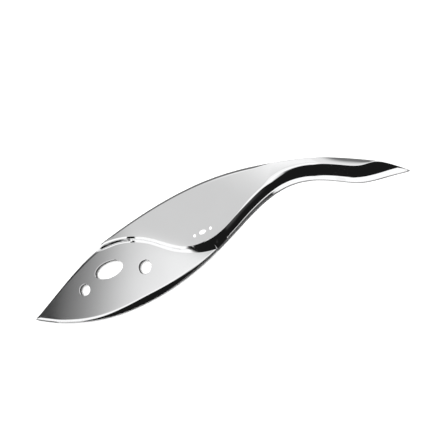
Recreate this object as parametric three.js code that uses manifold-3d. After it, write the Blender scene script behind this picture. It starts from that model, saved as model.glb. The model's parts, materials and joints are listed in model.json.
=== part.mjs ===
// Sculpting spatula: a pierced leaf-shaped steel blade held in a polished, hollow S-shaped handle.
//
// Millimetres, +Z up. The handle lies on its flat back on the plane z = 0 and the blade points
// towards -X. The plan curves below are laid out from the line through both tips, so the last
// group moves them until the origin lies under the middle of the outline.
import * as THREE from 'three';
import { mergeVertices } from 'three/addons/utils/BufferGeometryUtils.js';
import Module from 'manifold-3d';

const wasm = await Module();
wasm.setup();

// ---- driving dimensions ------------------------------------------------------------------
const TIP_X = -113;             // blade tip
const TAIL_X = 112;             // tail tip
const NOSE_X = -66;             // front end of the handle, on the blade's upper edge
const COVER_TOP = 1.4;          // back cover lies from 0 to here, the blade's back starts here
const BLADE_TOP = 3.4;          // blade is 2 mm sheet
const LEAF_TOP = 6.2;           // flat face of the handle's leaf
const RIDGE_Z = 3.6;            // line between the sloping flank and the steep side, by the leaf
const RIDGE_START_Z = 4.55;     // where it starts, beside the blade
const TAIL_RIDGE_Z = 4.15;      // the same line along the tail
const TIP_RIDGE_Z = 1.75;       // and where it ends, at the tail tip
const FLANK_SLOPE = 0.5;        // slope of the flank near the tail tip
const SIDE_SLOPE = 1.05;        // slope of the side, at least
const SIDE_FOOT = 1.75;         // the side is upright from the cover to here
const START_SLOPE = 0.7;        // slope of the side beside the blade
const FACE_DROP = 0.7;          // how much lower the tail's face is along its outer edge
const CHAMFER = 1.15;           // width of the bevel along the leaf's outer edge
const CHAMFER_SLOPE = 0.42;     // and its fall over that width
const WALL = 1.5;               // handle's wall beside the blade and the cavity
const GAP = 0.3;                // clearance between fitted pieces
const JOIN_X = 2;               // where the cove reaches the lower edge
const SHOULDER_X = -60;         // blade narrows here to pass inside the handle's wall
const TANG_END = 46;            // end of the blade inside the handle
const BOND_LENGTH = 8;          // potting behind the tang
const CAVITY = [64, 94];        // hollow stretch of the neck
const COVER_ENDS = [-62, 110.5]; // back cover
const COVER_INSET = 0.25;       // shadow line between cover and shell, on the outer edge
const BACK_THICKNESS = 1.9;     // shell over the cavity
const TOOL_MARGIN = 3;          // how far a cutting shape reaches past the outline
const DOWEL = { radius: 1.5, low: 0.6, high: 5.0, sides: 16 };
const TANG_DOWELS = { dowel_fore: [-36, 26.5], dowel_middle: [-12, 20], dowel_rear: [22, 24] };
const NECK_DOWEL = [59, 24];
const BLADE_HOLES = [
  { centre: [-78.8, 5.3], radii: [3.3, 3.3] },
  { centre: [-61.6, 10.9], radii: [8.85, 4.75] },
  { centre: [-40.5, 4.6], radii: [3.9, 3.9] },
];
const OUTLINE_CENTRE = [-0.5, 10.7];

// ---- plan curves, y over x ---------------------------------------------------------------
const upperEdge = spline([[-113, 0], [-95, 10.1], [-80, 18.1], [-67, 23.6], [-50, 28.5],
  [-25, 33.4], [5, 35.8], [30, 33.7], [52, 28.8], [72, 22.6], [90, 14.2], [103, 6.6],
  [112, -0.4]]);
const lowerEdge = spline([[-113, 0], [-105, -4], [-90, -9.6], [-70, -13.9], [-50, -14.4],
  [-25, -10.7], [0, -2.2], [20, 7.4], [38, 14.8], [52, 16.6], [64, 14.1], [76, 8.5], [85, 4],
  [92, 2.2], [102, 1], [112, -0.4]]);
const faceEdge = spline([[-66, 23.6], [-60, 25.2], [-54, 25.3], [-44, 23.3], [-34, 18.9],
  [-24, 12], [-14, 6], [-5, 4.2], [5, 5.3], [20, 12], [35, 19], [50, 22.8], [60, 22.6],
  [72, 18.9], [82, 14], [90, 10.6], [97, 9.6], [105, 5], [112, -0.4]]);
const ridge = spline([[-2, 1.2], [8, 2], [20, 7.6], [35, 14.6], [50, 18.4], [60, 18], [72, 14],
  [82, 8.8], [90, 5.8], [100, 4.8], [107, 2.6], [112, -0.4]]);
const coveEdge = spline([[-66, 23], [-60, 22.6], [-54, 22.5], [-44, 20.3], [-34, 15.4],
  [-24, 7.9], [-14, 2.7], [-5, -0.2], [4, -1.3]]);

// Natural cubic spline through [x, y] points, as a function of x.
function spline(points) {
  const n = points.length;
  const x = points.map((p) => p[0]);
  const y = points.map((p) => p[1]);
  const bend = new Array(n).fill(0);
  const sweep = new Array(n).fill(0);
  for (let i = 1; i < n - 1; i++) {
    const before = x[i] - x[i - 1];
    const after = x[i + 1] - x[i];
    const pull = 6 * ((y[i + 1] - y[i]) / after - (y[i] - y[i - 1]) / before);
    const pivot = 2 * (before + after) - before * sweep[i - 1];
    sweep[i] = after / pivot;
    bend[i] = (pull - before * bend[i - 1]) / pivot;
  }
  for (let i = n - 2; i > 0; i--) bend[i] -= sweep[i] * bend[i + 1];
  return (at) => {
    let i = 0;
    while (i < n - 2 && at > x[i + 1]) i++;
    const h = x[i + 1] - x[i];
    const a = x[i + 1] - at;
    const b = at - x[i];
    const cubic = (bend[i] * a ** 3 + bend[i + 1] * b ** 3) / (6 * h);
    return cubic + (y[i] / h - bend[i] * h / 6) * a + (y[i + 1] / h - bend[i + 1] * h / 6) * b;
  };
}

const ease = (t) => THREE.MathUtils.smoothstep(t, 0, 1);
const mix = THREE.MathUtils.lerp;

function range(start, end, count) {
  return Array.from({ length: count + 1 }, (_, i) => mix(start, end, i / count));
}

// ---- solids ------------------------------------------------------------------------------
function toSolid(geometry) {
  const bare = geometry.clone();
  bare.deleteAttribute('normal');
  bare.deleteAttribute('uv');
  const merged = mergeVertices(bare, 1e-5);
  return new wasm.Manifold(new wasm.Mesh({
    numProp: 3,
    vertProperties: new Float32Array(merged.attributes.position.array),
    triVerts: new Uint32Array(merged.index.array),
  }));
}

function toGeometry(solid) {
  const mesh = solid.getMesh();
  const geometry = new THREE.BufferGeometry();
  geometry.setAttribute('position', new THREE.BufferAttribute(mesh.vertProperties, 3));
  geometry.setIndex(new THREE.BufferAttribute(mesh.triVerts, 1));
  return geometry;
}

// Closed solid through sections at constant x; each section is a ring of [y, z] points that
// runs from the upper side over the top to the lower side.
function loft(stations, section) {
  const rings = stations.map((x) => section(x).map(([y, z]) => [x, y, z]));
  const size = rings[0].length;
  const index = [];
  for (let i = 0; i < rings.length - 1; i++) {
    for (let j = 0; j < size; j++) {
      const a = i * size + j;
      const b = i * size + (j + 1) % size;
      index.push(a, b, a + size, b, b + size, a + size);
    }
  }
  const last = (rings.length - 1) * size;
  for (const [start, outward] of [[0, true], [last, false]]) {
    const flat = rings[start / size].map(([, y, z]) => new THREE.Vector2(y, z));
    for (const [a, b, c] of THREE.ShapeUtils.triangulateShape(flat, [])) {
      if (outward) index.push(start + a, start + c, start + b);
      else index.push(start + a, start + b, start + c);
    }
  }
  const geometry = new THREE.BufferGeometry();
  geometry.setAttribute('position', new THREE.Float32BufferAttribute(rings.flat(2), 3));
  geometry.setIndex(index);
  return toSolid(geometry);
}

function plate(outline, low, high) {
  const shape = new THREE.Shape(outline.map(([x, y]) => new THREE.Vector2(x, y)));
  const geometry = new THREE.ExtrudeGeometry(shape, { depth: high - low, bevelEnabled: false });
  return toSolid(geometry.translate(0, 0, low));
}

function rod([x, y], radii, low, high, sides = DOWEL.sides) {
  const geometry = new THREE.CylinderGeometry(1, 1, high - low, sides);
  geometry.rotateX(Math.PI / 2).scale(radii[0], radii[1], 1);
  return toSolid(geometry.translate(x, y, (low + high) / 2));
}

function drilled(solid, centres, low, high) {
  const radius = DOWEL.radius + GAP;
  return centres.reduce((body, at) => body.subtract(rod(at, [radius, radius], low, high)), solid);
}

// Outline between a lower and an upper curve, anticlockwise.
function band(lower, upper, start, end, count) {
  const xs = range(start, end, count);
  return [...xs.map((x) => [x, lower(x)]), ...xs.reverse().map((x) => [x, upper(x)])];
}

// ---- handle ------------------------------------------------------------------------------
const noseRise = (x) => ease((x - NOSE_X + 1.5) / 8);

// Height and plan line of the ridge between flank and side. It starts on the cove's slope,
// keeps the side steep, climbs a little along the tail and drops to the tail tip.
function crestHeight(x) {
  const start = mix(RIDGE_START_Z, RIDGE_Z, ease((x - JOIN_X) / 5));
  const full = mix(start, TAIL_RIDGE_Z, ease((x - 62) / 20));
  const thin = SIDE_FOOT + SIDE_SLOPE * Math.max(ridge(x) - lowerEdge(x), 0);
  return Math.max(mix(full, Math.min(full, thin), ease((x - 86) / 10)), TIP_RIDGE_Z);
}

function crestLine(x) {
  const steep = lowerEdge(x) + Math.max(crestHeight(x) - SIDE_FOOT, 0.1) / SIDE_SLOPE;
  return Math.min(ridge(x), steep + 2 * (1 - ease((x - 3) / 4)));
}

function faceHeight(x) {
  const free = crestHeight(x) + FLANK_SLOPE * Math.max(faceEdge(x) - crestLine(x), 0.2);
  const thin = LEAF_TOP - Math.log1p(Math.exp((LEAF_TOP - free) * 4)) / 4;
  return mix(mix(BLADE_TOP, LEAF_TOP, noseRise(x)), thin, ease((x - 86) / 12));
}

// Points along a polyline, with the given number of steps on each stretch.
function subdivided(corners, steps) {
  const path = [corners[0]];
  steps.forEach((count, k) => {
    const [from, to] = [corners[k], corners[k + 1]];
    for (let i = 1; i <= count; i++) {
      path.push([mix(from[0], to[0], i / count), mix(from[1], to[1], i / count)]);
    }
  });
  return path;
}

// Edge of the handle over the blade: two broad bevels with a steep band between them, which
// turns into one even slope before the blade ends.
function coveProfile(x, edge, foot, top) {
  const run = edge - foot;
  const even = (top - BLADE_TOP) / run;
  const front = ease((-44 - x) / 1.2);
  const level = ease((x + 21) / 10);
  const upperRun = mix(0.46, 0.4, front) * run;
  const lowerRun = mix(0.42, 0.27, front) * run;
  const upperFall = mix(mix(0.55, 0.18, front), even, level) * upperRun;
  const lowerFall = mix(mix(0.55, 0.2, front), even, level) * lowerRun;
  const corners = [[edge, top], [edge - upperRun, top - upperFall],
    [foot + lowerRun, BLADE_TOP + lowerFall], [foot, BLADE_TOP]];
  return subdivided(corners, [3, 2, 3]);
}

// Ridge point and foot point of the section: on one slope over the blade, past it with a side
// that turns from sloping to steep.
function ridgeAndFoot(x, edge, foot, top) {
  const across = Math.max(Math.min(crestLine(Math.max(x, JOIN_X)), edge - 0.1), foot + 0.03);
  if (x <= JOIN_X) {
    return [[across, mix(BLADE_TOP, top, (across - foot) / (edge - foot))], [foot, BLADE_TOP]];
  }
  const height = crestHeight(x);
  const startFoot = height - START_SLOPE * (across - foot);
  const sideFoot = mix(startFoot, SIDE_FOOT, ease((x - 9) / 5));
  return [[across, height], [foot, mix(sideFoot, COVER_TOP + 0.08, ease((x - 98) / 8))]];
}

// Cross-section of the handle: side wall, bevel, flat face, then what comes down to the blade:
// the cove, and past it a sloping flank, a ridge and a steep side down to the back cover.
function handleSection(x) {
  const top = faceHeight(x);
  const upper = upperEdge(x);
  const foot = Math.min(x <= JOIN_X ? coveEdge(x) : lowerEdge(x), upper - 0.5);
  const edge = Math.min(Math.max(faceEdge(x), foot + 0.2), upper - 0.15);
  const rim = top - Math.min(FACE_DROP * ease((x - 66) / 18), 0.25 * (top - COVER_TOP));
  const wide = Math.min(mix(CHAMFER, 0.12, ease((x - 34) / 12)), 0.45 * (upper - edge));
  const brink = rim - Math.min(CHAMFER_SLOPE * wide, 0.5 * (rim - COVER_TOP));
  const flank = subdivided([[edge, top], ...ridgeAndFoot(x, edge, foot, top)], [6, 2]);
  const cove = coveProfile(x, edge, foot, top);
  const past = ease((x + 10) / 10);
  const inner = cove.map(([y, z], i) => [mix(y, flank[i][0], past), mix(z, flank[i][1], past)]);
  return [[upper, COVER_TOP], [upper, brink], [upper - wide, rim], ...inner, [foot, COVER_TOP]];
}

// Lower limit of what lies inside the handle: the lower edge, or further in where the side leans.
const innerLower = (x) => (x > JOIN_X ? Math.max(lowerEdge(x), crestLine(x) - 0.5) : lowerEdge(x));

// Everything of the blade that the handle has to leave room for, with clearance.
function bladeOutline(grow) {
  const inset = WALL + GAP - grow;
  return band((x) => (x < JOIN_X + grow ? lowerEdge(x) - TOOL_MARGIN : innerLower(x) + inset),
    (x) => (x < SHOULDER_X + grow ? upperEdge(x) + TOOL_MARGIN : upperEdge(x) - inset),
    TIP_X - TOOL_MARGIN, TANG_END + grow, 160);
}

function bladePocket() {
  const room = plate(bladeOutline(GAP), COVER_TOP - 1, BLADE_TOP);
  return room.add(plate(bondOutline(GAP), COVER_TOP - 1, BLADE_TOP));
}

function frontShell() {
  const stations = [...range(NOSE_X, SHOULDER_X, 8), ...range(-58, -16, 21),
    ...range(-14, JOIN_X, 16), JOIN_X + 0.1, ...range(3, 14, 11), ...range(16, 106, 45),
    ...range(107, TAIL_X - 0.25, 6)];
  const outer = loft(stations, handleSection);
  const cavity = loft(range(CAVITY[0], CAVITY[1], 12), (x) => {
    const high = faceHeight(x) - BACK_THICKNESS;
    const low = COVER_TOP - 1;
    const near = lowerEdge(x) + 2 * WALL;
    const far = upperEdge(x) - WALL;
    return [[far, low], [far, high], [Math.max(near, faceEdge(x)), high], [near, low + 2], [near, low]];
  });
  const hollow = outer.subtract(bladePocket()).subtract(cavity);
  const centres = [...Object.values(TANG_DOWELS), NECK_DOWEL];
  return drilled(hollow, centres, COVER_TOP - 1, DOWEL.high + GAP);
}

function backCover() {
  const low = (x) => (x < 4 ? coveEdge(Math.max(x, NOSE_X)) + 2 : lowerEdge(x));
  const front = (x) => mix(low(x), lowerEdge(x), ease((x + 8) / 12));
  const blank = plate(band(front, (x) => upperEdge(x) - COVER_INSET, ...COVER_ENDS, 90), 0, COVER_TOP);
  return drilled(blank, [...Object.values(TANG_DOWELS), NECK_DOWEL], DOWEL.low - GAP, COVER_TOP + 1);
}

// ---- blade -------------------------------------------------------------------------------
// Flat sheet whose lower edge has a shallow bevel, and below it a steep one that is broad in the
// middle and runs out towards the tip and towards the handle.
function bladeSection(x) {
  const upper = upperEdge(x);
  const lower = Math.min(lowerEdge(x), upper - 0.3);
  const width = upper - lower;
  const broad = ease((x + 88) / 50);
  const full = mix(1.25, 0.8, broad) + 0.5 * ease((x + 45) / 25) - 0.9 * ease((x + 15) / 15);
  const shallow = Math.min(full, 0.3 * width);
  const nearHandle = ease((x + 50) / 52);
  const nearTip = ease((-97 - x) / 8);
  const steep = Math.min(mix(mix(0.3, 3, broad), 0.3, nearHandle) + 0.3 * nearTip, 0.3 * width);
  const fall = mix(mix(0.75, 0.5, broad), 2.2, nearTip) * steep;
  const hollow = BLADE_TOP - 0.19 * shallow;
  const nick = Math.min(0.5, 0.2 * width);
  return [
    [upper, COVER_TOP], [upper, BLADE_TOP - 0.7 * nick], [upper - nick, BLADE_TOP],
    [lower + steep + shallow, BLADE_TOP], [lower + steep, hollow],
    [lower, hollow - fall], [lower, COVER_TOP],
  ];
}

function blade() {
  const stations = [...range(TIP_X + 0.25, TIP_X + 6, 6), ...range(TIP_X + 8, TANG_END + 2, 66)];
  const blank = loft(stations, bladeSection).intersect(plate(bladeOutline(0), 0, LEAF_TOP));
  const pierced = BLADE_HOLES.reduce((body, hole) => {
    const sides = hole.radii[0] > 5 ? 48 : 32;
    return body.subtract(rod(hole.centre, hole.radii, 0, LEAF_TOP, sides));
  }, blank);
  return drilled(pierced, Object.values(TANG_DOWELS), 0, LEAF_TOP);
}

function bondOutline(grow) {
  const inset = WALL + GAP - grow;
  return band((x) => innerLower(x) + inset, (x) => upperEdge(x) - inset,
    TANG_END + GAP - (grow > 0 ? 2 * GAP : 0), TANG_END + GAP + BOND_LENGTH + grow, 6);
}

const tangBond = () => plate(bondOutline(0), COVER_TOP, BLADE_TOP);
const dowel = (centre) => rod(centre, [DOWEL.radius, DOWEL.radius], DOWEL.low, DOWEL.high);

// ---- assembly ----------------------------------------------------------------------------
const finishes = {
  chrome: { color: 0xe6e7e8, roughness: 0.08, metalness: 1 },
  polishedSteel: { color: 0xd6d8da, roughness: 0.12, metalness: 1 },
  satinCover: { color: 0xcfd1d3, roughness: 0.3, metalness: 1 },
  pinSteel: { color: 0x9a9da0, roughness: 0.35, metalness: 1 },
  epoxy: { color: 0x5b5a52, roughness: 0.6, metalness: 0 },
};

function piece(name, solid, finish) {
  const mesh = new THREE.Mesh(toGeometry(solid), new THREE.MeshStandardMaterial(finishes[finish]));
  mesh.name = name;
  return mesh;
}

const layout = new THREE.Group();
layout.add(piece('front_shell', frontShell(), 'chrome'));
layout.add(piece('back_cover', backCover(), 'satinCover'));
layout.add(piece('blade', blade(), 'polishedSteel'));
layout.add(piece('tang_bond', tangBond(), 'epoxy'));
for (const [name, centre] of Object.entries({ ...TANG_DOWELS, neck_dowel: NECK_DOWEL })) {
  layout.add(piece(name, dowel(centre), 'pinSteel'));
}
layout.position.set(-OUTLINE_CENTRE[0], -OUTLINE_CENTRE[1], 0);

const spatula = new THREE.Group();
spatula.add(layout);
export default spatula;
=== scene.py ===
"""Sculpting spatula: a pierced leaf-shaped blade in a polished S-shaped handle.

The plan curves are in millimetres from the line through both tips. make_mesh turns them into
metres and moves the origin under the middle of the outline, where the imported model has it.
"""
import json
import math

import bpy
import numpy as np
from mathutils import Matrix, Vector


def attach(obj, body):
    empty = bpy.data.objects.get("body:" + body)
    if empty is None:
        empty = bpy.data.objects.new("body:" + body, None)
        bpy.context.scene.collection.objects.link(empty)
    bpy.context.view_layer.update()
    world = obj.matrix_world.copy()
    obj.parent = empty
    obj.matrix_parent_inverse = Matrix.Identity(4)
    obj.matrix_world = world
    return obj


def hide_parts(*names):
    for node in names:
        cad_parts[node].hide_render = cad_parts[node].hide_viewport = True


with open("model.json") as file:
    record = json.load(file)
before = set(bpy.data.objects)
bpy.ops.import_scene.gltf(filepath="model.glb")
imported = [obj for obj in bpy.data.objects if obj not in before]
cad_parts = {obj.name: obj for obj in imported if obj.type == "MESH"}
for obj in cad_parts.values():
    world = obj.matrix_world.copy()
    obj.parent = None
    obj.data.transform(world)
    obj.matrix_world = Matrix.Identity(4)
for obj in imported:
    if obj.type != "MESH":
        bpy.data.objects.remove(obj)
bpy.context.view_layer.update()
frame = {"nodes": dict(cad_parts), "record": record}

# ---- sizes in millimetres ------------------------------------------------------------------
MM = 0.001
CENTRE_X, CENTRE_Y = -0.5, 10.7       # middle of the outline
TIP_X, TAIL_X, NOSE_X = -113.0, 112.0, -66.0
JOIN_X = 2.0                          # where the rim over the blade turns into the handle's side
SHOULDER_X, HIDDEN_END_X = -60.0, 20.0
COVER_ENDS = (-62.0, 110.5)

COVER_TOP, BLADE_TOP, LEAF_TOP = 1.4, 3.4, 6.2
RIDGE_START_Z, RIDGE_Z = 4.55, 3.6    # height of the ridge beside the blade and along the neck
TAIL_RIDGE_Z, TIP_RIDGE_Z = 4.15, 1.75   # and along the tail and at its tip
SIDE_FOOT = 1.75                      # height of the side's lower edge
TAIL_FOOT = COVER_TOP + 0.08          # the same at the tail tip
FLANK_SLOPE, SIDE_SLOPE, START_SLOPE = 0.5, 1.05, 0.7
FLANK_SWELL = 0.14
TAIL_DROP = 0.7                       # how far the tail's face falls towards its outer edge
OUTER_BEVEL, NECK_BEVEL = 1.15, 0.12  # bevel of the outer edge, at the leaf and past it

RIM_SLOPES, NOSE_SLOPES = (0.55, 0.55), (0.18, 0.2)   # upper and lower bevel of the rim
RIM_SHARES, NOSE_SHARES = (0.46, 0.42), (0.4, 0.27)   # how much of its width each bevel takes
RIM_BEND, NOSE_BEND = 0.3, 0.22
NOSE_RIM_END, RIM_EVENS_OUT = (-44, -45.2), (-21, -11)   # stretches along X

WALL = 1.8                            # from the handle's outer edge to the blade hidden in it
HOLLOW_SLOPE, DIP_SLOPE = 0.19, 0.02
COVER_INSET, COVER_GAP, EDGE_BREAK = 0.25, 0.02, 0.15
SHARP_ANGLE, BLADE_SHARP_ANGLE = 32, 25   # in degrees: flatter edges than these are smooth

DOT_RADIUS, OVAL_DOT = (0.8, 0.8), (2.0, 1.1)
ETCHED_DOTS = (((-6.9, 9.3), DOT_RADIUS), ((-2.0, 9.6), OVAL_DOT), ((2.9, 9.9), DOT_RADIUS))
BLADE_HOLES = (((-78.8, 5.3), (3.3, 3.3)),
               ((-61.6, 10.9), (8.85, 4.75)),
               ((-40.5, 4.6), (3.9, 3.9)))


def spline(points):
    """Natural cubic spline through (x, y) points, as a function of x."""
    x, y = np.array(points, float).T
    n, h = len(x), np.diff(x)
    system, pull = np.eye(n), np.zeros(n)
    for i in range(1, n - 1):
        system[i, i - 1 : i + 2] = h[i - 1], 2 * (h[i - 1] + h[i]), h[i]
        pull[i] = 6 * ((y[i + 1] - y[i]) / h[i] - (y[i] - y[i - 1]) / h[i - 1])
    bend = np.linalg.solve(system, pull)

    def value(at):
        i = np.clip(np.searchsorted(x, at) - 1, 0, n - 2)
        a, b, step = x[i + 1] - at, at - x[i], h[i]
        cubic = (bend[i] * a**3 + bend[i + 1] * b**3) / (6 * step)
        falling = (y[i] / step - bend[i] * step / 6) * a
        rising = (y[i + 1] / step - bend[i + 1] * step / 6) * b
        return cubic + falling + rising

    return value


upper_edge = spline([(-113, 0), (-95, 10.1), (-80, 18.1), (-67, 23.6), (-50, 28.5), (-25, 33.4),
                     (5, 35.8), (30, 33.7), (52, 28.8), (72, 22.6), (90, 14.2), (103, 6.6),
                     (112, -0.4)])
lower_edge = spline([(-113, 0), (-105, -4), (-90, -9.6), (-70, -13.9), (-50, -14.4), (-25, -10.7),
                     (0, -2.2), (20, 7.4), (38, 14.8), (52, 16.6), (64, 14.1), (76, 8.5), (85, 4),
                     (92, 2.2), (102, 1), (112, -0.4)])
face_edge = spline([(-66, 23.6), (-60, 25.2), (-54, 25.3), (-44, 23.3), (-34, 18.9), (-24, 12),
                    (-14, 6), (-5, 4.2), (5, 5.3), (20, 12), (35, 19), (50, 22.8), (60, 22.6),
                    (72, 18.9), (82, 14), (90, 10.6), (97, 9.6), (105, 5), (112, -0.4)])
ridge_line = spline([(-2, 1.2), (8, 2), (20, 7.6), (35, 14.6), (50, 18.4), (60, 18), (72, 14),
                     (82, 8.8), (90, 5.8), (100, 4.8), (107, 2.6), (112, -0.4)])
cove_edge = spline([(-66, 23), (-60, 22.6), (-54, 22.5), (-44, 20.3), (-34, 15.4), (-24, 7.9),
                    (-14, 2.7), (-5, -0.2), (4, -1.3)])


def smooth(x, start, end):
    """0 on the start's side of both, 1 on the end's side, smooth between."""
    t = np.clip((x - start) / (end - start), 0, 1)
    return t * t * (3 - 2 * t)


def mix(a, b, t):
    return a + (b - a) * t


# ---- mesh helpers --------------------------------------------------------------------------
def rounded(corners, cuts, runs, steps=8):
    """Points along a polyline whose inner corners are rounded: cuts says how far from each
    corner its curve starts, runs how many steps each straight stretch has."""
    corners = [np.array(c, float) for c in corners]
    path, here = [corners[0]], corners[0]
    for k in range(1, len(corners)):
        corner = corners[k]
        if k == len(corners) - 1:
            start = corner
        else:
            before, after = corners[k - 1] - corner, corners[k + 1] - corner
            reach = min(cuts[k - 1], 0.45 * np.linalg.norm(before), 0.45 * np.linalg.norm(after))
            start = corner + before / np.linalg.norm(before) * reach
            end = corner + after / np.linalg.norm(after) * reach
        path += [mix(here, start, (i + 1) / runs[k - 1]) for i in range(runs[k - 1])]
        if k < len(corners) - 1:
            for i in range(1, steps + 1):
                t = i / steps
                path.append((1 - t) ** 2 * start + 2 * t * (1 - t) * corner + t * t * end)
            here = end
    return np.array(path)


def resample(path, count):
    """The same path with count points, evenly spaced."""
    run = np.concatenate([[0], np.cumsum(np.linalg.norm(np.diff(path, axis=0), axis=1))])
    at = np.linspace(0, run[-1], count)
    return np.stack([np.interp(at, run, path[:, 0]), np.interp(at, run, path[:, 1])], 1)


def make_mesh(name, points, faces):
    """Mesh object from points in millimetres, smooth but for its sharp edges."""
    placed = (np.asarray(points) - (CENTRE_X, CENTRE_Y, 0.0)) * MM
    mesh = bpy.data.meshes.new(name)
    mesh.from_pydata(placed.tolist(), [], faces)
    mesh.validate()
    mesh.polygons.foreach_set("use_smooth", [True] * len(mesh.polygons))
    mesh.set_sharp_from_angle(angle=math.radians(SHARP_ANGLE))
    piece = bpy.data.objects.new(name, mesh)
    bpy.context.scene.collection.objects.link(piece)
    return piece


def loft_faces(count, size):
    """Faces of a closed loft of count rings with size points each, both ends capped."""
    faces = []
    for i in range(count - 1):
        for j in range(size):
            a, b = i * size + j, i * size + (j + 1) % size
            faces.append((a, b, b + size, a + size))
    faces.append(tuple(reversed(range(size))))
    faces.append(tuple(range((count - 1) * size, count * size)))
    return faces


def loft(name, stations, section):
    """Closed form through the (y, z) ring that section gives at each x."""
    rings = [section(x) for x in stations]
    points = [(x, y, z) for x, ring in zip(stations, rings) for y, z in ring]
    return make_mesh(name, points, loft_faces(len(rings), len(rings[0])))


def spaced(*stops):
    """Stations through (x, step) stops: each stretch uses the step given at its start."""
    out = []
    for (x0, step), (x1, _) in zip(stops, stops[1:]):
        out += list(np.arange(x0, x1 - step / 2, step))
    return out + [stops[-1][0]]


# ---- handle --------------------------------------------------------------------------------
def crest_height(x):
    """Height of the ridge between flank and side: higher along the tail, low at its tip."""
    neck = mix(RIDGE_START_Z, RIDGE_Z, smooth(x, JOIN_X, JOIN_X + 5))
    full = mix(neck, TAIL_RIDGE_Z, smooth(x, 62, 82))
    thin = SIDE_FOOT + SIDE_SLOPE * max(ridge_line(x) - lower_edge(x), 0)
    return max(mix(full, min(full, thin), smooth(x, 86, 96)), TIP_RIDGE_Z)


def crest_line(x):
    """Plan line of the ridge, which keeps the side steep."""
    steep = lower_edge(x) + max(crest_height(x) - SIDE_FOOT, 0.1) / SIDE_SLOPE
    return min(ridge_line(x), steep + 2 * (1 - smooth(x, 3, 7)))


def face_height(x):
    """Height of the face at its inner edge: rising from the nose, thinner along the tail."""
    free = crest_height(x) + FLANK_SLOPE * max(face_edge(x) - crest_line(x), 0.2)
    thin = LEAF_TOP - np.log1p(np.exp((LEAF_TOP - free) * 4)) / 4
    leaf = mix(BLADE_TOP, LEAF_TOP, smooth(x, NOSE_X - 1.5, NOSE_X + 6.5))
    return mix(leaf, thin, smooth(x, 86, 98))


def cove_profile(x, edge, foot, top, count):
    """Edge of the handle over the blade: two broad bevels with a steep band between them, which
    turns into one even slope before the blade ends."""
    run = edge - foot
    even = (top - BLADE_TOP) / run
    front, level = smooth(x, *NOSE_RIM_END), smooth(x, *RIM_EVENS_OUT)
    slopes = [mix(mix(a, b, front), even, level) for a, b in zip(RIM_SLOPES, NOSE_SLOPES)]
    runs = [mix(a, b, front) * run for a, b in zip(RIM_SHARES, NOSE_SHARES)]
    bend = mix(RIM_BEND, NOSE_BEND, front)
    corners = [(edge + 0.25, top), (edge, top), (edge - runs[0], top - slopes[0] * runs[0]),
               (foot + runs[1], BLADE_TOP + slopes[1] * runs[1]), (foot, BLADE_TOP)]
    return resample(rounded(corners, [0.1, bend, bend], [2, 6, 8, 6]), count)


def flank_profile(x, edge, foot, top, upper):
    """Edge of the handle past the blade: a flank down to the ridge, then the steep side."""
    soft = mix(0.25, 1.8, smooth(x, 16, 30)) + 5.5 * smooth(x, 36, 48)
    soft = mix(soft, 0.25, smooth(x, 58, 72))
    crest_y = max(min(crest_line(max(x, JOIN_X)), edge - 0.1), foot + 0.03)
    if x <= JOIN_X:
        crest_z = mix(BLADE_TOP, top, (crest_y - foot) / (edge - foot))
        foot_z = BLADE_TOP
    else:
        crest_z = crest_height(x)
        start_foot = crest_z - START_SLOPE * (crest_y - foot)
        side_foot = mix(start_foot, SIDE_FOOT, smooth(x, 9, 14))
        foot_z = mix(side_foot, TAIL_FOOT, smooth(x, 98, 106))
    inner = edge + min(soft, 0.8 * (upper - edge))
    corners = [(inner + 0.01, top), (inner, top), (edge, top), (crest_y, crest_z), (foot, foot_z)]
    flank = rounded(corners, [0.001, soft, 0.4], [1, 1, 10, 8], 14)
    swell = FLANK_SWELL * smooth(x, 2, 12) * smooth(x, 56, 42)
    along = np.clip((edge - flank[:, 0]) / (edge - crest_y), 0, 1)
    flank[:, 1] += 4 * swell * along * (1 - along)
    return flank


def handle_section(x):
    top, upper = face_height(x), upper_edge(x)
    foot = min(cove_edge(x) if x <= JOIN_X else lower_edge(x), upper - 0.4)
    edge = min(max(face_edge(x), foot + 0.2), upper - 0.12)
    drop = min(TAIL_DROP * smooth(x, 66, 84), 0.25 * (top - COVER_TOP))
    wide = min(mix(OUTER_BEVEL, NECK_BEVEL, smooth(x, 34, 46)), 0.45 * (upper - edge))
    brink = top - drop - min(0.42 * wide, 0.5 * (top - drop - COVER_TOP))
    corners = [(upper, COVER_TOP), (upper, brink), (upper - wide, top - drop), (edge, top)]
    outer = rounded(corners, [0.06, 0.1], [3, 3, 1], 5)[:-1]
    across = np.linspace(outer[-1][0], edge, 25)[1:-1]
    away = (across - edge) / max(upper - edge, 0.01)
    face = np.stack([across, top - drop * away**2], 1)

    flank = flank_profile(x, edge, foot, top, upper)
    rim = mix(cove_profile(x, edge, foot, top, len(flank)), flank, smooth(x, -10, 0))
    keep = face[face[:, 0] > rim[0][0] + 0.05]
    filler = resample(np.vstack([outer[-1:], keep, rim[:1]]), 22)[1:-1]
    return np.vstack([outer, filler, rim, [(foot, COVER_TOP)]])


def make_handle():
    stations = spaced((NOSE_X, 0.25), (-56, 0.6), (-16, 0.4), (JOIN_X, 0.04), (JOIN_X + 0.04, 0.4),
                      (16, 0.8), (84, 0.5), (106, 0.3), (TAIL_X - 0.2, 1))
    return loft("handle_shell", stations, handle_section)


def cover_section(x):
    behind_cove = cove_edge(max(x, NOSE_X)) + 2 if x < 4 else lower_edge(x)
    low = mix(behind_cove, lower_edge(x), smooth(x, -8, 4))
    high = max(upper_edge(x) - COVER_INSET, low + 0.3)
    top = COVER_TOP - COVER_GAP
    corners = [(high, top), (high, 0), (low + EDGE_BREAK, 0), (low, EDGE_BREAK),
               (low, top - 0.1), (low + 0.1, top)]
    outline = rounded(corners, [0.3, 0.08, 0.08, 0.05], [3, 12, 2, 4, 1], 4)
    return outline[::-1]              # the same way round as the other rings, so it faces out


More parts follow.
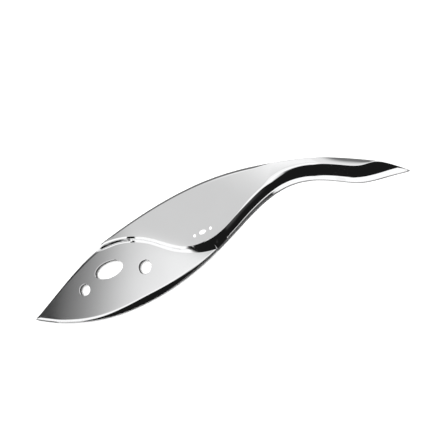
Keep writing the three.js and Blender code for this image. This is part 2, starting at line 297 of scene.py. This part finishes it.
def make_cover():
    return loft("handle_back", spaced((COVER_ENDS[0], 0.8), (COVER_ENDS[1], 1)), cover_section)


# ---- blade ---------------------------------------------------------------------------------
def blade_section(x):
    """Flat back and top, a nicked upper edge, and at the lower edge a shallow hollow bevel over
    a steeper one, whose widths change from the tip to the handle."""
    upper = upper_edge(x) if x < SHOULDER_X else upper_edge(x) - WALL
    lower = min(lower_edge(x), upper - 0.25)
    if x > JOIN_X:
        lower = mix(lower, lower + WALL, smooth(x, JOIN_X, JOIN_X + 1))
    width = upper - lower
    broad = smooth(x, -88, -38)
    near_handle, near_tip = smooth(x, -50, 2), smooth(x, -97, -105)
    swept = mix(1.25, 0.8, broad) + 0.5 * smooth(x, -45, -20) - 0.9 * smooth(x, -15, 0)
    shallow = min(swept, 0.3 * width)
    steep = min(mix(mix(0.3, 3.0, broad), 0.3, near_handle) + 0.3 * near_tip, 0.3 * width)
    fall = mix(mix(0.75, 0.5, broad), 2.2, near_tip) * steep
    shade = min(mix(1.6, 0.35, smooth(x, -108, -80)) - 0.2 * near_handle, 0.2 * width)
    start = lower + shallow + steep
    dipped = BLADE_TOP - DIP_SLOPE * shade
    bottom = dipped - HOLLOW_SLOPE * shallow
    corners = [(start + 2 * shade, BLADE_TOP), (start + shade, BLADE_TOP), (start, dipped),
               (lower + steep, bottom), (lower, bottom - fall), (lower, COVER_TOP)]
    cuts = [0.3 * shade, 0.12, mix(0.12, 0.7, broad), 0.08]
    edge = rounded(corners, cuts, [2, 3, 4, 8, 3])
    nick = min(0.5, 0.2 * width)
    corners = [(upper, COVER_TOP), (upper, BLADE_TOP - 0.7 * nick), (upper - nick, BLADE_TOP), edge[0]]
    back = rounded(corners, [0.05, 0.05], [2, 2, 24], 4)[:-1]
    return np.vstack([back, edge])


def make_cutter(centre, radii, count=96):
    """A hole's cutter: straight through, with a small break of the edge at both faces."""
    profile = ((COVER_TOP - 0.5, 0.55), (COVER_TOP + 0.12, 0.0),
               (BLADE_TOP - 0.18, 0.0), (BLADE_TOP + 0.4, 0.5))
    turns = [2 * math.pi * j / count for j in range(count)]
    points = [(centre[0] + (radii[0] + grow) * math.cos(turn),
               centre[1] + (radii[1] + grow) * math.sin(turn), z)
              for z, grow in profile for turn in turns]
    return make_mesh("cutter", points, loft_faces(len(profile), count))


def make_blade():
    stations = spaced((TIP_X + 0.2, 0.25), (TIP_X + 6, 0.8), (SHOULDER_X, 0.05),
                      (SHOULDER_X + 0.05, 0.8), (JOIN_X, 0.2), (JOIN_X + 1, 1), (HIDDEN_END_X, 1))
    blade = loft("blade_sheet", stations, blade_section)
    for centre, radii in BLADE_HOLES:
        cutter = make_cutter(centre, radii)
        cut = blade.modifiers.new("hole", "BOOLEAN")
        cut.object, cut.solver = cutter, "EXACT"
        bpy.context.view_layer.objects.active = blade
        bpy.ops.object.modifier_apply(modifier=cut.name)
        bpy.data.objects.remove(cutter)
    blade.data.set_sharp_from_angle(angle=math.radians(BLADE_SHARP_ANGLE))
    return blade


# ---- material building ---------------------------------------------------------------------
class Value:
    """A socket that can be used in Python arithmetic."""

    def __init__(self, tree, socket):
        self.tree, self.socket = tree, socket

    def combine(self, operation, *others):
        inputs = dict(enumerate((self, *others)))
        return self.tree.node("ShaderNodeMath", {"operation": operation}, inputs)

    def __add__(self, other):
        return self.combine("ADD", other)

    def __mul__(self, other):
        return self.combine("MULTIPLY", other)

    def __sub__(self, other):
        return self.combine("SUBTRACT", other)

    def __truediv__(self, other):
        return self.combine("DIVIDE", other)

    def __rsub__(self, other):
        return self.tree.node("ShaderNodeMath", {"operation": "SUBTRACT"}, {0: other, 1: self})

    __radd__, __rmul__ = __add__, __mul__

    def smooth(self, low, high):
        """0 below low, 1 above high, smooth between; high may be the smaller one."""
        if low > high:
            return 1 - self.smooth(high, low)
        return self.tree.node("ShaderNodeMapRange", {"interpolation_type": "SMOOTHSTEP"},
                              {"Value": self, "From Min": low, "From Max": high})

    def ramp(self, low, high, stops):
        """Grey level by (value, level) stops that lie between low and high."""
        span = high - low
        places = [((at - low) / span, level) for at, level in stops]
        return self.tree.node("ShaderNodeValToRGB", {"stops": places}, {"Fac": (self - low) / span})

    def parts(self):
        """The vector's X, Y and Z."""
        return self.tree.node("ShaderNodeSeparateXYZ", {}, {0: self}, output=slice(3))


class Tree:
    """A node tree whose nodes all come from one method."""

    def __init__(self, tree):
        self.tree = tree
        tree.nodes.clear()

    def node(self, kind, settings=None, inputs=None, output=0):
        made = self.tree.nodes.new(kind)
        for name, value in (settings or {}).items():
            if name == "stops":
                self.set_stops(made.color_ramp, value)
            else:
                setattr(made, name, value)
        for name, value in (inputs or {}).items():
            if isinstance(value, Value):
                self.tree.links.new(value.socket, made.inputs[name])
            else:
                made.inputs[name].default_value = value
        values = [Value(self, socket) for socket in made.outputs]
        return values[output] if values else None

    @staticmethod
    def set_stops(ramp, stops):
        while len(ramp.elements) < len(stops):
            ramp.elements.new(0.5)
        for element, (place, level) in zip(ramp.elements, stops):
            element.position = place
            element.color = (level, level, level, 1)


def new_material(name):
    material = bpy.data.materials.new(name)
    material.use_nodes = True
    return material, Tree(material.node_tree)


def finish_surface(tree, inputs):
    shader = tree.node("ShaderNodeBsdfPrincipled", {}, inputs)
    tree.node("ShaderNodeOutputMaterial", {}, {"Surface": shader})


def object_place(tree):
    return tree.node("ShaderNodeTexCoord", output=3)


def stretched_noise(tree, scale, detail, spin=0.0):
    """Noise in object space whose scale is given along X, Y and Z, turned about Z by spin."""
    turned = tree.node("ShaderNodeMapping", {},
                       {"Vector": object_place(tree), "Rotation": (0, 0, spin), "Scale": scale})
    return tree.node("ShaderNodeTexNoise", {}, {"Vector": turned, "Scale": 1.0, "Detail": detail})


def etched_dots(tree):
    """1 inside the three small etched dots on the leaf's face, 0 elsewhere."""
    x, y, z = object_place(tree).parts()
    dots = []
    for (centre_x, centre_y), (radius_x, radius_y) in ETCHED_DOTS:
        across = (x - (centre_x - CENTRE_X) * MM) / (radius_x * MM)
        along = (y - (centre_y - CENTRE_Y) * MM) / (radius_y * MM)
        dots.append((across * across + along * along).smooth(1.15, 0.85))
    return sum(dots) * z.smooth(0.9 * LEAF_TOP * MM, 0.95 * LEAF_TOP * MM)


def metal(name, colour, rough, lines, line_depth, smudge=0.02, spin=0.0, etched=False):
    """Metal with fine polishing lines, faint clouds in its gloss and tiny specks."""
    material, tree = new_material(name)
    hairlines = stretched_noise(tree, lines, 3.0, spin)
    clouds = stretched_noise(tree, (60, 60, 60), 4.0)
    specks = stretched_noise(tree, (900, 900, 900), 2.0)
    uneven = (clouds - 0.5) + (hairlines - 0.5) * 0.8 + (specks - 0.5) * 0.4
    roughness = uneven * smudge + rough
    height = hairlines + (specks - 0.5) * 0.3
    metallic = 1.0
    if etched:
        frosted = etched_dots(tree)
        roughness = roughness + frosted * 0.5
        height = height + frosted * specks * 8
        metallic = 1 - frosted * 0.7
    darker = [channel * 0.985 for channel in colour]
    tone = tree.node("ShaderNodeMix", {"data_type": "RGBA"},
                     {0: clouds.smooth(0.3, 0.75), 6: (*colour, 1), 7: (*darker, 1)}, output=2)
    bump = tree.node("ShaderNodeBump", {},
                     {"Strength": 1.0, "Distance": line_depth, "Height": height})
    finish_surface(tree, {"Base Color": tone, "Metallic": metallic, "Roughness": roughness,
                          "Normal": bump})
    return material


def potting():
    """Dark grainy compound round the blade's tang."""
    material, tree = new_material("potting_compound")
    grain = stretched_noise(tree, (700, 700, 700), 4.0)
    bump = tree.node("ShaderNodeBump", {}, {"Strength": 0.4, "Distance": 0.0001, "Height": grain})
    finish_surface(tree, {"Base Color": (0.1, 0.1, 0.09, 1), "Roughness": grain * 0.3 + 0.45,
                          "Normal": bump})
    return material


# ---- pieces --------------------------------------------------------------------------------
CHROME, STEEL, PIN = (0.93, 0.932, 0.935), (0.9, 0.903, 0.908), (0.6, 0.61, 0.62)
finishes = {
    "handle_chrome": metal("handle_chrome", CHROME, 0.045, (25, 900, 900), 2e-7, 0.02, 0.12, True),
    "blade_steel": metal("blade_steel", STEEL, 0.06, (30, 1300, 1300), 3e-7, 0.03, -0.35),
    "cover_satin": metal("cover_satin", CHROME, 0.24, (1500, 60, 1500), 2e-6, 0.08, 0.5),
    "pin_steel": metal("pin_steel", PIN, 0.3, (200, 200, 3000), 2e-6, 0.1),
    "potting": potting(),
}
slots = {row["node"]: row["material_slot"] for row in frame["record"]["subparts"]}
for node, shape in frame["nodes"].items():
    shape.data.materials.clear()
    shape.data.materials.append(finishes[slots[node]])
for node, make in (("front_shell", make_handle), ("back_cover", make_cover), ("blade", make_blade)):
    piece = make()
    piece.data.materials.append(finishes[slots[node]])
    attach(piece, "root")
    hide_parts(node)


# ---- floor, light and camera ---------------------------------------------------------------
FLOOR_RADIUS = 4
# Grey levels of the floor's painted reflection glow, by how grazing the view is: emission seen only in
# mirrors
FLOOR_IN_MIRROR = ((0.3, 0.09), (0.45, 0.1), (0.6, 0.06), (0.76, 0.04), (0.84, 0.7), (0.9, 0.98))
LAMP_SIZE, LAMP_POWER, LAMP_HEIGHT = 1.6, 36, 1.6

# The room is told by turn, in degrees round from +X, and by rise, in degrees up from the table.
DEGREES = 180 / math.pi
ROOM_LIGHT, BACKDROP_LIGHT = 1.08, 1.1
FLAG_LIGHT, FLAG_HAZE = 0.01, 0.07
LOW_WALL_LIGHT, TAIL_WALL_LIGHT = 0.08, 0.1
LEAF_WALL = ((120, 0.86), (125, 0.97), (127.5, 1.03), (129.5, 0.86), (131, 0.74), (133, 0.665),
             (141, 0.66))
BLADE_WALL = ((58, 0.03), (58.4, 0.08), (58.8, 0.17), (59.3, 0.225), (59.8, 0.31), (60.4, 0.43),
              (61.1, 0.62), (61.8, 0.78), (62.5, 0.87), (63.5, 0.94), (65, 1.0))

CAMERA_EYE = Vector((204.55, -183.44, 577.18)) * MM
CAMERA_AXES = ((0.8783, -0.2730, -0.3925), (0.3633, 0.9147, 0.1768), (0.3108, -0.2979, 0.9026))
CAMERA_LENS, CAMERA_SENSOR = 100, 36


def make_floor():
    """Table that looks plain to the camera but glows in mirrors. This is a painted reflection: an
    emission that mirrors show dark from above and white at a low angle.
    """
    bpy.ops.mesh.primitive_circle_add(vertices=96, radius=FLOOR_RADIUS, fill_type="NGON")
    floor = bpy.context.object
    floor.name = "floor"
    material, tree = new_material("white_table_glowing_in_mirrors")
    paper = tree.node("ShaderNodeBsdfPrincipled", {},
                      {"Base Color": (0.9, 0.9, 0.9, 1), "Roughness": 0.9, "Specular IOR Level": 0.1})
    # Painted reflection: in mirrors the floor is an emission, dark seen from above and white at a low
    # angle
    grazing = tree.node("ShaderNodeLayerWeight", {}, {"Blend": 0.5}, output=1)
    mirror_glow = grazing.ramp(0, 1, FLOOR_IN_MIRROR)
    glow_in_mirrors = tree.node("ShaderNodeEmission", {}, {"Color": mirror_glow, "Strength": 1.0})
    in_mirror = tree.node("ShaderNodeLightPath", output=3)
    shader = tree.node("ShaderNodeMixShader", {}, {"Fac": in_mirror, 1: paper, 2: glow_in_mirrors})
    tree.node("ShaderNodeOutputMaterial", {}, {"Surface": shader})
    floor.data.materials.append(material)


def flag_mask(turn, rise):
    """1 inside the dark flag in front of the table."""
    wider = rise.smooth(31, 36) * 30 - rise.smooth(44, 50) * 5
    across = (turn + wider).smooth(-137, -131) * turn.smooth(-20, -32)
    low_limit = rise - 14 * turn.smooth(-132, -126)
    return across * low_limit.smooth(9, 13) * rise.smooth(80, 69)


def wall_light(turn, rise):
    """Light of the wall behind the table: graded across, and dark below."""
    leaf_wall = turn.ramp(100, 145, LEAF_WALL)
    blade_wall = (rise - (turn - 145) * 0.05).ramp(57, 67, BLADE_WALL)
    past_leaf = turn.smooth(140.4, 141.6)
    wall = leaf_wall * (1 - past_leaf) + blade_wall * past_leaf
    tail_wall = turn.smooth(126, 122)
    low_wall = rise.smooth(58, 38) * (1 - tail_wall) + rise.smooth(66, 46) * tail_wall
    wall = wall * (1 - low_wall) + low_wall * (LOW_WALL_LIGHT + TAIL_WALL_LIGHT * tail_wall)
    overhead = rise.smooth(67, 71)
    return wall * (1 - overhead) + overhead


def make_room():
    """White studio all round, with a dark flag in front and a graded wall behind."""
    world = bpy.data.worlds.new("studio")
    bpy.context.scene.world = world
    world.use_nodes = True
    tree = Tree(world.node_tree)
    x, y, z = tree.node("ShaderNodeTexCoord").parts()
    turn = y.combine("ARCTAN2", x) * DEGREES
    rise = z.combine("ARCSINE") * DEGREES
    flag = flag_mask(turn, rise)
    flag_light = FLAG_LIGHT + FLAG_HAZE * rise.smooth(46, 58) * turn.smooth(-88, -76)
    behind = turn.smooth(48, 58) * turn.smooth(164, 158)
    room = wall_light(turn, rise) * behind + (1 - behind) * ROOM_LIGHT
    light = room * (1 - flag) + flag * flag_light
    seen = tree.node("ShaderNodeLightPath")
    level = light * (1 - seen) + seen * BACKDROP_LIGHT
    background = tree.node("ShaderNodeBackground", {}, {"Color": level, "Strength": 1.0})
    tree.node("ShaderNodeOutputWorld", {}, {"Surface": background})


def make_lamp():
    data = bpy.data.lights.new("overhead", "AREA")
    data.shape, data.size, data.energy = "DISK", LAMP_SIZE, LAMP_POWER
    lamp = bpy.data.objects.new("overhead", data)
    lamp.location = (0.0, 0.0, LAMP_HEIGHT)
    lamp.visible_glossy = False
    bpy.context.scene.collection.objects.link(lamp)


def make_camera():
    data = bpy.data.cameras.new("camera")
    data.lens, data.sensor_width = CAMERA_LENS, CAMERA_SENSOR
    camera = bpy.data.objects.new("camera", data)
    turn = Matrix(CAMERA_AXES).transposed()
    camera.matrix_world = Matrix.Translation(CAMERA_EYE) @ turn.to_4x4()
    bpy.context.scene.collection.objects.link(camera)
    bpy.context.scene.camera = camera


make_floor()
make_room()
make_lamp()
make_camera()
bpy.context.scene.view_settings.view_transform = "Standard"
